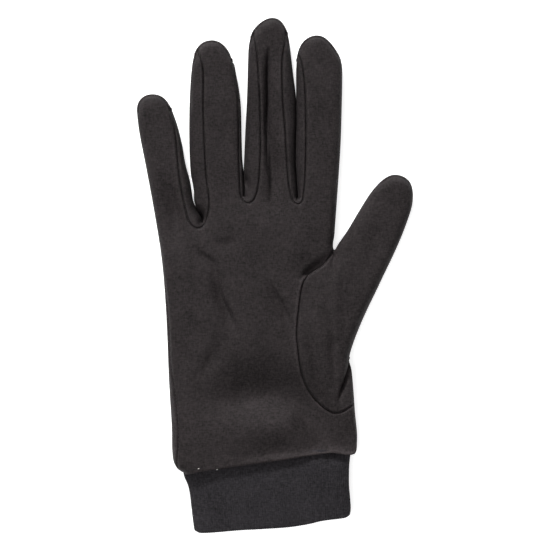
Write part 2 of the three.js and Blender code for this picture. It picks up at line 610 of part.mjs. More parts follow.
// The origin is the middle of the glove's footprint on the surface it lies on.
const box = new THREE.Box3().setFromObject(glove);
const centre = box.getCenter(new THREE.Vector3());
glove.position.set(-centre.x, -centre.y, -box.min.z);

export default glove;
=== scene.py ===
# A right-hand glove liner of thin dark silk jersey with a ribbed cuff, lying on its back with the palm up.
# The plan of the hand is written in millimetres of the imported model's frame: +X is the thumb's side, +Y
# runs to the fingertips and +Z up.
import math

import bpy
import numpy as np
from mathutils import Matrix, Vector, geometry, kdtree, noise


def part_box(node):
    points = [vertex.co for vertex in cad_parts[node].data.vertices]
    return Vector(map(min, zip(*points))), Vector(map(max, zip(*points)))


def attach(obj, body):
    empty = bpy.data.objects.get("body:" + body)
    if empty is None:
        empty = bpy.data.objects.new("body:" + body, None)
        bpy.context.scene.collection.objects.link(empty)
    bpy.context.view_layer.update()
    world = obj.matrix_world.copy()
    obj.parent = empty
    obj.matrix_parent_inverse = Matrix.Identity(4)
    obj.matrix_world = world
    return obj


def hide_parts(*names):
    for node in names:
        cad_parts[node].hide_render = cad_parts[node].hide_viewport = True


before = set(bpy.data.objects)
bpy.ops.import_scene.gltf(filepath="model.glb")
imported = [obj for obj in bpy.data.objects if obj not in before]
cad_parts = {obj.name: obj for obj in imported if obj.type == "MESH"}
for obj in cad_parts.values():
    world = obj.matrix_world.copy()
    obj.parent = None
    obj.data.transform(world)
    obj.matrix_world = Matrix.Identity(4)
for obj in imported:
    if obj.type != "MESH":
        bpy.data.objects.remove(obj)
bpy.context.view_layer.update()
scene = bpy.context.scene
mm = 0.001

# Stage: a pale table that glows a little, as on a catalogue picture's white ground. The main light is a
# soft spot, low beyond the fingertips, that brings out the relief of the palm. A weak broad light stands
# with it, a smaller one hangs near the wrist, and a white tent gives the rest. The camera looks straight
# down.
photo_pixel = 0.4753 * mm
photo_width = 550 * photo_pixel
view_centre = (0.2 * mm, -0.1 * mm)
view_plane = 4.4 * mm
lens = 85
sensor = 36


def stand(name, data):
    """Puts a mesh, a camera or a light into the scene."""
    made = bpy.data.objects.new(name, data)
    scene.collection.objects.link(made)
    return made


def fill(tree, node, inputs):
    """Gives a shader or geometry node its inputs, each a value or another node's output."""
    for label, value in inputs.items():
        if isinstance(value, bpy.types.NodeSocket):
            tree.links.new(value, node.inputs[label])
        else:
            node.inputs[label].default_value = value


def material(name):
    """A new material, its node tree and its shader."""
    made = bpy.data.materials.new(name)
    made.use_nodes = True
    return made, made.node_tree, made.node_tree.nodes["Principled BSDF"]


camera = stand("camera", bpy.data.cameras.new("camera"))
camera.data.lens = lens
camera.data.sensor_width = sensor
camera.location = (*view_centre, view_plane + photo_width * lens / sensor)
scene.camera = camera
scene.view_settings.view_transform = "Standard"

table_reach = 1.6
table_corners = [(x * table_reach, y * table_reach, 0) for x, y in ((-1, -1), (1, -1), (1, 1), (-1, 1))]
floor_mesh = bpy.data.meshes.new("floor")
floor_mesh.from_pydata(table_corners, [], [(0, 1, 2, 3)])
floor = stand("floor", floor_mesh)
floor_paint, floor_tree, floor_shader = material("floor_paint")
fill(floor_tree, floor_shader, {
    "Base Color": (0.86, 0.86, 0.86, 1), "Roughness": 0.9, "Specular IOR Level": 0.1,
    "Emission Color": (1, 1, 1, 1), "Emission Strength": 0.75,
})
floor_mesh.materials.append(floor_paint)

world = bpy.data.worlds.new("tent")
world.use_nodes = True
fill(world.node_tree, world.node_tree.nodes["Background"], {"Color": (1, 1, 1, 1), "Strength": 0.3})
scene.world = world


def lamp(name, kind, place, aim, energy, **shape):
    """A light that stands at a place and faces a point of the glove."""
    data = bpy.data.lights.new(name, kind)
    data.energy = energy
    for setting, value in shape.items():
        setattr(data, setting, value)
    light = stand(name, data)
    light.location = place
    light.rotation_mode = "QUATERNION"
    light.rotation_quaternion = (Vector(aim) - Vector(place)).to_track_quat("-Z", "Y")


low_beyond_fingertips = (-0.32, 0.97, 0.5)
heel_of_palm = (-0.03, -0.078, 0)
spot_shape = {"spot_size": math.radians(10), "spot_blend": 1.0, "shadow_soft_size": 0.2}
lamp("fingertip_light", "AREA", low_beyond_fingertips, (0, 0, 0), energy=2.0, size=0.5)
lamp("wrist_light", "AREA", (-0.16, -0.16, 0.42), (-0.02, -0.06, 0), energy=0.7, size=0.22)
lamp("palm_spot", "SPOT", low_beyond_fingertips, heel_of_palm, energy=400, **spot_shape)

# Trank: the one cloth of fine silk jersey that makes the palm, the back and the faces of the four fingers.
# It is folded on the index side, seamed on the little finger's side, and turned in over the cuff at the
# wrist.
step = 0.8  # length of one edge of the mesh along a seam or an outline
outline = [
    # outer side of the hand and little finger
    (-42.8, -94.0), (-46.3, -91.6), (-48.3, -86.5), (-48.8, -72.0), (-50.1, -50.0), (-51.3, -21.5),
    (-53.3, 5.1), (-56.8, 27.9), (-61.1, 51.2), (-64.3, 67.5), (-65.5, 77.4),
    # little finger's tip and inner side
    (-65.3, 80.7), (-64.0, 83.3), (-61.8, 85.1), (-58.8, 85.9), (-55.2, 85.5), (-52.3, 83.8), (-50.3, 81.2),
    (-48.7, 77.9), (-46.0, 70.2), (-43.8, 61.2), (-42.7, 54.5), (-41.7, 50.2), (-40.7, 46.7), (-39.9, 43.1),
    (-39.3, 39.3), (-38.65, 35.4), (-37.5, 32.5), (-36.3, 30.7), (-35.15, 29.2), (-34.35, 27.7),
    (-34.15, 26.2), (-34.4, 24.9),
    # ring finger
    (-34.4, 24.9), (-34.16, 26.2), (-34.37, 27.69), (-35.17, 29.18), (-36.32, 30.68), (-37.5, 32.5),
    (-38.3, 35.4), (-38.4, 39.3), (-38.9, 43.1), (-39.7, 47.0), (-40.2, 52.5), (-40.5, 59.3), (-40.6, 73.0),
    (-40.3, 85.9), (-39.4, 98.3), (-38.4, 104.0), (-36.9, 107.8), (-34.5, 110.3), (-31.7, 111.4),
    (-28.6, 111.5), (-25.7, 110.4), (-23.0, 107.9), (-20.9, 104.2), (-17.9, 93.5), (-16.1, 81.2),
    (-15.6, 64.1), (-15.3, 55.0), (-14.75, 50.0), (-14.55, 47.2), (-14.5, 44.6), (-14.35, 42.0),
    (-14.35, 39.5), (-14.3, 37.2),
    # middle finger
    (-14.3, 37.2), (-14.36, 39.5), (-14.36, 42.0), (-14.51, 44.6), (-14.56, 47.2), (-14.7, 50.0),
    (-14.5, 55.0), (-13.9, 68.8), (-13.1, 85.0), (-12.7, 100.2), (-12.4, 107.5), (-11.7, 112.0),
    (-10.4, 115.9), (-7.9, 119.0), (-5.0, 121.1), (-2.2, 122.2), (0.8, 122.0), (3.2, 120.5), (5.3, 117.3),
    (6.6, 113.0), (7.5, 107.0), (8.4, 99.5), (9.2, 92.8), (9.8, 88.6), (10.15, 84.5), (10.24, 76.0),
    (10.19, 70.0), (9.97, 64.0), (9.88, 57.0), (9.93, 51.0), (10.18, 47.5), (10.52, 44.2), (10.82, 40.0),
    (10.9, 36.4),
    # index finger
    (10.92, 36.4), (10.84, 40.0), (10.54, 44.2), (10.2, 47.5), (9.95, 51.0), (9.9, 57.0),
    (9.99, 64.0), (10.21, 70.0), (10.26, 76.0), (10.18, 84.5), (10.22, 89.0), (10.2, 96.0), (10.4, 101.0),
    (10.8, 104.6), (12.0, 108.4), (14.1, 111.4), (17.0, 113.3), (20.2, 113.9), (23.2, 113.2), (26.0, 111.0),
    (28.9, 107.4), (31.2, 103.2), (32.1, 99.0), (32.2, 92.0), (32.0, 81.2), (31.5, 64.1), (30.6, 48.9),
    (29.4, 32.0), (28.5, 19.4), (28.1, 12.0),
    # thumb
    (30.3, 14.8), (34.5, 20.9), (39.6, 29.4), (43.4, 35.6), (46.0, 39.4), (49.2, 43.1), (52.0, 45.6),
    (55.0, 47.2), (57.8, 47.6), (61.0, 46.8), (63.9, 44.7), (65.4, 41.5), (65.8, 37.5), (65.1, 31.8),
    (61.9, 22.4), (58.7, 14.6), (55.2, 7.0), (51.5, -0.6), (47.9, -8.2), (44.2, -15.8), (40.8, -23.4),
    (37.8, -31.0), (35.9, -37.0), (35.4, -40.4),
    # heel of the hand on the thumb side
    (36.5, -45.0), (37.4, -54.0), (38.2, -65.2), (39.2, -75.5), (39.1, -80.8),
]
wrist_line = [
    (39.1, -80.8), (38.0, -84.1), (34.6, -84.9), (27.3, -84.0), (19.7, -84.8), (0.2, -87.8), (-18.8, -90.4),
    (-35.5, -92.9), (-40.6, -94.0), (-42.8, -94.0),
]
# The seams that hold the fourchettes, each from one fingertip down round the crotch and up to the next
# fingertip.
finger_seams = {
    "little_ring": [
        (-50.3, 81.2), (-49.5, 76.0), (-47.2, 68.8), (-46.2, 60.7), (-45.0, 47.4), (-43.0, 35.5),
        (-40.9, 26.6), (-38.9, 23.2), (-36.4, 21.9), (-33.8, 23.0), (-31.9, 27.0), (-30.7, 33.5),
        (-32.1, 46.0), (-32.9, 60.3), (-33.6, 79.3), (-33.7, 96.4), (-35.2, 103.0), (-36.9, 107.8),
    ],
    "ring_middle": [
        (-20.9, 104.2), (-19.3, 97.3), (-17.4, 84.0), (-16.9, 68.8), (-16.8, 56.9), (-16.4, 45.0),
        (-16.0, 38.6), (-14.8, 35.1), (-12.4, 33.7), (-9.8, 35.3), (-8.1, 39.4), (-7.1, 47.0), (-6.5, 60.3),
        (-6.8, 80.7), (-7.7, 96.4), (-8.6, 106.8), (-10.4, 115.9),
    ],
    "middle_index": [
        (5.3, 117.3), (5.0, 110.6), (3.8, 102.1), (3.6, 95.0), (4.0, 82.1), (5.0, 68.8), (5.8, 54.6),
        (6.7, 43.2), (8.0, 36.7), (9.8, 33.7), (12.3, 33.7), (13.6, 37.5), (14.4, 45.1), (14.9, 60.3),
        (14.7, 82.1), (13.8, 94.5), (12.5, 101.1), (10.8, 104.6),
    ],
}
thumb_seam = [
    (28.1, 12.0), (24.9, 7.0), (21.6, 3.7), (17.8, 1.3), (14.9, -1.4), (13.0, -5.8), (11.5, -16.0),
    (10.5, -27.2), (11.1, -34.8), (12.3, -43.8), (14.9, -52.4), (19.7, -59.5), (24.4, -63.5), (28.7, -65.2),
    (32.8, -64.0), (37.8, -60.6),
]
palm_fold = [
    (28.1, 12.0), (27.7, 5.0), (27.9, -2.5), (28.7, -12.0), (30.1, -21.5), (32.0, -31.0), (35.4, -40.4),
]  # the fold of the trank that runs under the thumb
outer_seam = [
    (-52.4, 0.0), (-51.0, -9.0), (-49.6, -24.0), (-49.0, -40.5), (-47.2, -52.0), (-45.9, -62.0),
    (-45.1, -72.0), (-45.2, -82.0), (-45.7, -89.4), (-44.6, -93.0),
]  # the closing seam of the trank, which shows as a strip beside the outer edge


def smooth(points):
    """A smooth line through plan points, cut into edges of about one step. The points themselves stay on
    it, and a point that is given twice makes a corner."""
    given = np.array(points, float)
    before = np.vstack([2 * given[0] - given[1], given[:-2], given[-2:-1]])
    after = np.vstack([given[2:], 2 * given[-1] - given[-2], 2 * given[-1] - given[-2]])
    line = []
    for i in range(len(given) - 1):
        a, b = given[i], given[i + 1]
        span = np.linalg.norm(b - a)
        start = (b - before[i]) / max(np.linalg.norm(b - before[i]), 1e-6) * span
        end = (after[i] - a) / max(np.linalg.norm(after[i] - a), 1e-6) * span
        for t in np.arange(max(1, round(span / step))) / max(1, round(span / step)):
            line.append(
                (2 * t**3 - 3 * t**2 + 1) * a + (t**3 - 2 * t**2 + t) * start
                + (3 * t**2 - 2 * t**3) * b + (t**3 - t**2) * end
            )
    return np.array([*line, given[-1]])


def nearest(points, line):
    """How far each plan point lies from a line, its place along the line, and whether it is on the left."""
    best = np.full(len(points), 1e9)
    place = np.zeros(len(points))
    left = np.zeros(len(points), bool)
    start = 0.0
    for a, b in zip(line[:-1], line[1:]):
        run = np.linalg.norm(b - a)
        if run == 0:
            continue
        ahead = (b - a) / run
        off = points - a
        along = np.clip(off @ ahead, 0, run)
        away = np.hypot(*(off - along[:, None] * ahead).T)
        closer = away < best
        best[closer] = away[closer]
        place[closer] = start + along[closer]
        left[closer] = (ahead[0] * off[:, 1] - ahead[1] * off[:, 0])[closer] > 0
        start += run
    return best, place, left


def length_of(line):
    return np.linalg.norm(np.diff(line, axis=0), axis=1).sum()


def inside(points, loop):
    """Which plan points lie inside a closed loop."""
    crossings = np.zeros(len(points), int)
    x, y = points.T
    for (ax, ay), (bx, by) in zip(loop, np.roll(loop, -1, axis=0)):
        spans = (ay > y) != (by > y)
        if ay != by:
            crossings += spans & (x < ax + (y - ay) * (bx - ax) / (by - ay))
    return crossings % 2 == 1


def arch(share):
    """The quarter round of a puffed edge: 0 at the edge and 1 where the round ends."""
    return np.sqrt(1 - (1 - np.clip(share, 0, 1)) ** 2)


def fade(away, width):
    """Runs smoothly from 0 at a line to 1 at a width away from it."""
    share = np.clip(away / width, 0, 1)
    return share * share * (3 - 2 * share)


def bell(away, reach):
    """Falls smoothly from 1 at a line to almost 0 at two reaches away."""
    return np.exp(-((away / reach) ** 2))


def blended(points, stations, column, spread=15.0):
    """A size that is known at a few places, blended smoothly over the plan."""
    weight = np.zeros(len(points))
    total = np.zeros(len(points))
    for station in stations:
        pull = bell(np.hypot(*(points - station["at"]).T), spread) + 1e-9
        weight += pull
        total += pull * station[column]
    return total / weight


usual_hold = 5.0
fold_power = 2
crease_power = 1.15


def sunk(points, folds, away):
    """How far the upper side sinks into its folds. A fold has a reach on the left and on the right of its
    path, and its depth runs from the first value of its sink to the last. It dies out within its hold of an
    edge, and a crease is a sharp fold."""
    total = np.zeros(len(points))
    for fold in folds:
        path = smooth(fold["path"])
        beside, place, left = nearest(points, path)
        depth = np.interp(place / length_of(path), np.linspace(0, 1, len(fold["sink"])), fold["sink"])
        power = crease_power if "crease" in fold else fold_power
        slope = np.exp(-((beside / np.where(left, *fold["reach"])) ** power))
        total += depth * slope * fade(away, fold.get("hold", usual_hold))
    return total


crumple_waves = [{"span": 17.0, "size": 0.34}, {"span": 8.0, "size": 0.17}, {"span": 4.0, "size": 0.05}]
crumple_hold = 5.0


def crumpled(points, away, layer):
    """The shallow uneven waves of soft cloth that was smoothed out by hand, which die out towards an edge."""
    waves = [
        sum(wave["size"] * noise.noise(Vector((x, y, layer)) / wave["span"]) for wave in crumple_waves)
        for x, y in points
    ]
    return np.array(waves) * fade(away, crumple_hold)


edge = smooth(outline)
wrist = smooth(wrist_line)


def place_on_edge(point):
    """The number of the outline's vertex at a plan point."""
    return int(np.argmin(np.hypot(*(edge - point).T)))


seams = {name: smooth(points) for name, points in finger_seams.items()}
side_line = smooth(outer_seam)
thumb_line = smooth(thumb_seam)
thumb_line[-1] = edge[place_on_edge(thumb_seam[-1])]
fold_line = smooth(palm_fold)
crotch = place_on_edge(palm_fold[0])
heel = place_on_edge(palm_fold[-1])
thumb_foot = place_on_edge(thumb_seam[-1])
hand_edge = np.vstack([edge[: crotch + 1], fold_line[1:-1], edge[heel:]])

# Heights of the puffed cloth at places of the plan: its crown in the middle, and its edge where the upper
# and the lower side meet.
crown_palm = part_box("trank_palm")[1].z / mm
crown_finger = 9.6
hand_stations = [
    {"at": (-40, -82), "crown": 0.98 * crown_palm, "edge": 5.4},
    {"at": (-5, -76), "crown": 1.0 * crown_palm, "edge": 5.4},
    {"at": (34, -74), "crown": 0.93 * crown_palm, "edge": 5.4},
    {"at": (-42, -40), "crown": 0.95 * crown_palm, "edge": 5.4},
    {"at": (-8, -46), "crown": 0.98 * crown_palm, "edge": 5.4},
    {"at": (-44, -5), "crown": 0.96 * crown_palm, "edge": 5.2},
    {"at": (-12, -15), "crown": 1.0 * crown_palm, "edge": 5.2},
    {"at": (24, -50), "crown": 0.95 * crown_palm, "edge": 5.4},
    {"at": (18, 2), "crown": 0.92 * crown_palm, "edge": 5.0},
    {"at": (-20, 16), "crown": 0.93 * crown_palm, "edge": 5.0},
    {"at": (18, 24), "crown": 0.86 * crown_palm, "edge": 4.8},
    {"at": (-48, 32), "crown": 1.06 * crown_finger, "edge": 4.6},
    {"at": (-54, 56), "crown": 1.0 * crown_finger, "edge": 4.3},
    {"at": (-58, 78), "crown": 0.86 * crown_finger, "edge": 3.7},
    {"at": (-26, 46), "crown": 1.05 * crown_finger, "edge": 4.4},
    {"at": (-28, 76), "crown": 1.0 * crown_finger, "edge": 4.2},
    {"at": (-30, 104), "crown": 0.86 * crown_finger, "edge": 3.7},
    {"at": (0, 46), "crown": 1.05 * crown_finger, "edge": 4.4},
    {"at": (-1, 82), "crown": 1.0 * crown_finger, "edge": 4.2},
    {"at": (-2, 115), "crown": 0.84 * crown_finger, "edge": 3.6},
    {"at": (21, 48), "crown": 1.05 * crown_finger, "edge": 4.4},
    {"at": (21, 78), "crown": 1.0 * crown_finger, "edge": 4.2},
    {"at": (20, 106), "crown": 0.86 * crown_finger, "edge": 3.7},
]
middle_crease = [
    (-2.8, 107.0), (-3.3, 102.0), (-3.5, 92.0), (-3.4, 82.0), (-3.8, 73.0), (-3.6, 62.0), (-3.0, 46.0),
]
heel_crease = [(35.6, -40.6), (34.0, -46.6), (31.9, -53.0), (30.4, -58.4)]
hand_folds = [
    # the deep crease of the middle finger and the soft hollow round it
    {"path": middle_crease, "reach": (0.95, 0.8), "sink": (0.5, 4.4, 4.8, 4.6, 3.6, 2.6, 0.6),
     "crease": True},
    {"path": [(-3.4, 100.0), (-3.6, 70.0), (-2.6, 50.0)], "reach": (3.0, 3.2), "sink": (0.4, 1.2, 1.2, 0.6)},
    {"path": [(-3.0, 74.0), (-2.0, 62.0), (-1.6, 52.0), (-1.4, 42.0), (-1.6, 34.0)], "reach": (4.4, 1.1),
     "sink": (0.2, 2.8, 4.2, 4.0, 0.4), "hold": 4.0},
    # the dark hollows in the crotches of the ring finger, and a slight swell further up it
    {"path": [(-37.6, 32.0), (-36.0, 29.8), (-35.0, 28.0), (-34.7, 26.0)], "reach": (1.2, 1.5),
     "sink": (1.6, 3.4, 4.0, 2.0), "hold": 0.2},
    {"path": [(-13.6, 47.0), (-12.6, 42.6), (-11.4, 39.6)], "reach": (0.9, 1.6), "sink": (0.8, 3.0, 2.4, 0.4),
     "hold": 0.6},
    {"path": [(-26.0, 77.0), (-22.5, 84.0)], "reach": (2.6, 2.0), "sink": (-0.1, -0.5, -0.1)},
    # hollows and a small swell at the roots of the fingers
    {"path": [(-52.6, 52.0), (-49.2, 40.0), (-46.2, 28.0), (-45.6, 18.0)], "reach": (1.8, 4.0),
     "sink": (0.2, 2.2, 3.4, 0.6), "hold": 3.5},
    {"path": [(-56.0, 68.0), (-52.0, 55.0)], "reach": (1.8, 2.6), "sink": (0.3, 0.5)},
    {"path": [(-24.6, 42.0), (-23.2, 35.0), (-21.6, 30.5)], "reach": (1.6, 2.4), "sink": (0.2, 0.9, 0.3),
     "hold": 2.0},
    {"path": [(-36.8, 46.0), (-35.0, 36.0), (-32.8, 27.0)], "reach": (1.6, 1.8), "sink": (0.3, 1.3, 0.5),
     "hold": 1.5},
    {"path": [(-36.4, 27.6), (-36.0, 24.6)], "reach": (1.2, 1.2), "sink": (-0.9, -0.9), "hold": 0.8},
    {"path": [(-6.0, 36.0), (2.0, 32.0)], "reach": (3.0, 2.6), "sink": (0.3, 0.6)},
    {"path": [(-30.0, 15.0), (-24.0, 14.0), (-16.0, 18.0)], "reach": (2.0, 3.0), "sink": (0.1, 0.7, 0.2)},
    # the long fold across the palm and its neighbour
    {"path": [(-39.3, 15.1), (-35.9, 10.7), (-29.1, 5.8), (-27.1, -1.0), (-25.2, -10.7), (-20.8, -19.4),
              (-18.4, -25.2), (-15.4, -31.5)],
     "reach": (1.3, 3.4), "sink": (0.4, 1.4, 1.9, 2.0, 3.6, 3.4, 1.4, 0.1)},
    {"path": [(-3.4, -3.0), (2.4, -13.0), (6.6, -22.0), (8.0, -28.0)], "reach": (1.5, 3.0),
     "sink": (0.2, 1.9, 2.5, 0.4)},
    {"path": [(-1.0, -2.0), (4.0, -11.0)], "reach": (1.6, 1.6), "sink": (-0.4, -0.5)},
    {"path": [(-46.4, -31.0), (-42.0, -38.0), (-38.0, -42.0)], "reach": (2.6, 1.4), "sink": (0.3, 1.1, 0.4)},
    {"path": [(-24.0, -31.0), (-30.0, -40.0), (-35.0, -48.0)], "reach": (3.2, 3.2), "sink": (0.5, 1.1, 0.4)},
    # the broad hollow above the wrist, the puff below it and the gathers over the cuff
    {"path": [(-42.0, -56.0), (-30.0, -56.5), (-18.0, -57.5), (0.0, -57.5), (11.0, -61.0),
              (18.0, -69.0), (26.0, -78.0), (38.0, -84.0)],
     "reach": (14.0, 8.0), "sink": (0.0, 2.2, 6.6, 8.2, 8.0, 6.6, 4.6, 3.2)},
    {"path": [(-36.0, -78.0), (-12.0, -72.5), (6.0, -70.0)], "reach": (8.0, 8.0), "sink": (-0.3, -0.9, -0.4)},
    {"path": [(-16.0, -85.2), (4.0, -83.6), (20.0, -81.8), (38.0, -80.6)], "reach": (8.0, 1.9),
     "sink": (0.3, 2.4, 2.4, 0.4), "hold": 1.0},
    # the deep fold in the crotch of the thumb
    {"path": [(27.2, 10.1), (23.2, 6.2), (19.6, 3.5), (16.4, 1.3), (13.6, -1.0)], "reach": (0.8, 1.7),
     "sink": (0.6, 2.6, 5.4, 5.6, 1.4), "hold": 1.5},
    {"path": [(22.0, 10.0), (16.0, 5.5), (10.5, 2.0)], "reach": (4.5, 4.5), "sink": (0.3, 1.0, 0.6)},
]
section_round = (4.2, 10.5)  # width of the steep round at an edge, and of the slow crown behind it
section_share = 0.8  # how much of the height the steep round gives
bed_round = 4.0
least_height = 1.6
groove = {"depth": 0.85, "reach": 0.36, "waver": 0.35, "span": 3.1, "hold": 1.0}
welt = {"away": 1.0, "reach": 0.45}  # the ridge of pressed cloth beside a seam
ridges = {"finger": 0.12, "thumb": 0.35, "side": 0.25}
cuff_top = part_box("cuff")[1].z / mm
lip = {"round": 1.3, "rise": 3.0, "reach": 4.0}  # the turned-in edge of the trank over the cuff
lip_stations = [
    {"at": (-34, -92), "over": 0.7}, {"at": (-8, -89), "over": 0.5}, {"at": (32, -84), "over": 0.15},
]
pocket = {"at": (-34.6, 27.6), "depth": 2.2, "reach": 3.0}  # the hollow in the crotch of the little finger
tip_stations = [
    {"at": (-58, 80), "from": 73}, {"at": (-30, 105), "from": 98},
    {"at": (-2, 115), "from": 109}, {"at": (20, 107), "from": 100},
]
tip_length = 6.0
tip_rim = {"width": 1.1, "height": 0.45}  # the edge of the back that shows round a fingertip beyond its seam
palm_layer = 3.0


def hand_edge_height(points):
    """How high the outline of the hand stands over the table."""
    hollow = pocket["depth"] * bell(np.hypot(*(points - pocket["at"]).T), pocket["reach"])
    return blended(points, hand_stations, "edge") - hollow


def puff(away):
    """The section of the puffed cloth at a distance from its edge, from 0 to 1."""
    steep, slow = section_round
    return section_share * arch(away / steep) + (1 - section_share) * arch(away / slow)


def puffed(away, low, high, tip):
    """The height of a puffed side from its edge to its crown, with the rim of a fingertip where tip is 1."""
    height = low + (high - low) * puff(np.maximum(away - tip * tip_rim["width"], 0))
    return height, tip_rim["height"] * tip * arch(1 - np.abs(2 * away / tip_rim["width"] - 1))


def seam_groove(points, line, ridge, away):
    """The groove that a seam's stitches pull into the cloth, with a ridge of pressed cloth beside it."""
    beside, place, _ = nearest(points, line)
    pull = np.array([noise.noise(Vector((p / groove["span"], line[0][0], 0))) for p in place])
    depth = groove["depth"] * (1 + groove["waver"] * pull) * bell(beside, groove["reach"])
    return (depth - ridge * bell(beside - welt["away"], welt["reach"])) * fade(away, groove["hold"])


def hand_top(points):
    """The upper side of the hand: puffed, folded, crumpled, grooved by its seams and pressed flat at the
    lip."""
    away = nearest(points, hand_edge)[0]
    tip = fade(points[:, 1] - blended(points, tip_stations, "from"), tip_length)
    height, rim = puffed(away, hand_edge_height(points), blended(points, hand_stations, "crown"), tip)
    height += rim - sunk(points, hand_folds, away) + crumpled(points, away, palm_layer)
    for line in seams.values():
        height -= seam_groove(points, line, ridges["finger"], away)
    height -= seam_groove(points, thumb_line, ridges["thumb"], away)
    height -= seam_groove(points, side_line, ridges["side"], away)
    from_wrist = nearest(points, wrist)[0]
    level = cuff_top + blended(points, lip_stations, "over")
    least = level * np.minimum(away / lip["rise"], 1) * (1 - fade(from_wrist, lip["reach"]))
    height = np.maximum(height, least)
    pressed = np.minimum(level, height)
    height = pressed + (height - pressed) * arch(from_wrist / lip["round"])
    return np.maximum(height, least_height)


def hand_under(points):
    """The lower side of the hand, which rises from the table to the outline."""
    away = nearest(points, hand_edge)[0]
    return hand_edge_height(points) * (1 - arch(away / bed_round))


def highlight_band(points, line, most, away, reach):
    """A band of painted highlight that runs beside a line."""
    return most * bell(nearest(points, line)[0] - away, reach)


def hand_painted_highlight(points):
    """Painted highlight, from 0 to 1: a pale line beside the seams and along the lip at the wrist, painted
    where light would catch the pressed ridges.
    """
    highlighted = highlight_band(points, thumb_line, most=0.9, away=1.1, reach=0.5)
    highlighted = np.maximum(highlighted, highlight_band(points, wrist, most=1.0, away=0.8, reach=0.55))
    for line in seams.values():
        highlighted = np.maximum(highlighted, highlight_band(points, line, most=0.3, away=1.0, reach=0.5))
    return highlighted


def no_painted_highlight(points):
    return np.zeros(len(points))


def spread_out(points, more, room):
    """Adds those of some more plan points that keep a room from all that are there."""
    tree = kdtree.KDTree(len(points))
    for i, point in enumerate(points):
        tree.insert((*point, 0), i)
    tree.balance()
    return points + [p for p in more if tree.find((*p, 0))[2] > room]


seam_opening = 0.1
row_room, row_share = 0.5, 0.9  # a row keeps this room, or this share of its distance where that is less
guide_room = 0.24
grid_share = 0.62
same_point = 1e-5
top_rows = {  # how far in the rows of points lie beside each kind of stretch
    "edge": (0.07, 0.3, 0.55, 0.85, 1.1, 1.4, 1.9, 2.6),
    "seam": (0.3, 0.6, 0.95, 1.4, 2.0),
    "open": (0.12, 0.4, 0.8, 1.3, 1.9),
}
under_rows = {"edge": (0.12, 0.5, 1.1, 1.9, 2.9), "seam": (0.5, 1.1), "open": (0.5, 1.3)}


def sheet(stretches, height, edge_height, flip, pitch, rows, painted_highlight=no_painted_highlight, guides=()):
    """One side of a piece: the plan inside a loop of stretches, meshed and raised to its height. A stretch
    is a line of plan points and its kind: edge where two sides meet, seam where another piece begins, or
    open. The mesh has rows beside its stretches and its guides, and elsewhere an even grid of its pitch."""
    loop = np.vstack([line[:-1] for line, kind in stretches])
    kinds = sum(([kind] * (len(line) - 1) for line, kind in stretches), [])
    for i, kind in enumerate(kinds):
        if "edge" in (kind, kinds[i - 1]):
            kinds[i] = "edge"
    x, y = loop.T
    turn = np.sign(np.sum(x * np.roll(y, -1) - np.roll(x, -1) * y))
    ahead = np.roll(loop, -1, axis=0) - np.roll(loop, 1, axis=0)
    inward = turn * np.column_stack([-ahead[:, 1], ahead[:, 0]]) / np.hypot(*ahead.T)[:, None]
    points = list(loop)
    for kind, distances in rows.items():
        chosen = [i for i, k in enumerate(kinds) if k == kind]
        for distance in distances if chosen else ():
            row = loop[chosen] + inward[chosen] * distance
            points = spread_out(points, row[inside(row, loop)], min(row_share * distance, row_room))
    for line, offsets in guides:
        along = np.gradient(line, axis=0)
        along /= np.hypot(*along.T)[:, None]
        for offset in offsets:
            row = line + offset * np.column_stack([-along[:, 1], along[:, 0]])
            points = spread_out(points, row[inside(row, loop)], guide_room)
    low, high = loop.min(0), loop.max(0)
    lift = pitch * math.sqrt(0.75)
    grid = np.array([
        (across + (pitch / 2) * (k % 2), low[1] + k * lift)
        for k in range(int((high[1] - low[1]) / lift))
        for across in np.arange(low[0], high[0], pitch)
    ])
    points = spread_out(points, grid[inside(grid, loop)], grid_share * pitch)
    plan, _, faces, origin, _, _ = geometry.delaunay_2d_cdt(
        [Vector(p) for p in points], [], [list(range(len(loop)))], 1, same_point
    )
    plan = np.array(plan, float)
    heights = height(plan)
    rim = edge_height(plan)
    for i, sources in enumerate(origin):
        first = min(sources) if sources else len(loop)
        if first < len(loop) and kinds[first] == "edge":
            heights[i] = rim[i]
        elif first < len(loop) and kinds[first] == "seam":
            plan[i] += inward[first] * seam_opening
    faces = [list(face) for face in faces]
    corners = plan[faces[0]]
    anticlockwise = np.cross(corners[1] - corners[0], corners[2] - corners[0]) > 0
    if anticlockwise == flip:
        faces = [face[::-1] for face in faces]
    return np.column_stack([plan, heights]) * mm, faces, painted_highlight(plan)


cloth = 0.7 * mm
weld_reach = 0.01 * mm


def smooth_faces(mesh):
    mesh.polygons.foreach_set("use_smooth", [True] * len(mesh.polygons))


def cloth_piece(name, sides):
    """A soft piece from its upper and lower side, welded where they meet and given the cloth's wall
    inwards."""
    vertices, faces, highlighted = [], [], []
    for points, side_faces, side_highlighted in sides:
        faces += [[len(vertices) + i for i in face] for face in side_faces]
        vertices += [tuple(p) for p in points]
        highlighted += list(side_highlighted)
    mesh = bpy.data.meshes.new(name)
    mesh.from_pydata(vertices, [], faces)
    # Each vertex keeps its share of painted highlight, which the material reads to paint a pale line.
    mesh.attributes.new("painted_highlight", "FLOAT", "POINT").data.foreach_set("value", highlighted)
    made = stand(name, mesh)
    weld = made.modifiers.new("weld", "WELD")
    weld.merge_threshold = weld_reach
    wall = made.modifiers.new("cloth", "SOLIDIFY")
    wall.thickness = cloth
    wall.offset = -1
    graph = bpy.context.evaluated_depsgraph_get()
    made.data = bpy.data.meshes.new_from_object(made.evaluated_get(graph))
    made.modifiers.clear()
    made.data.name = name
    smooth_faces(made.data)
    return made


back_inset = 2.6
back_run_out = 10.0


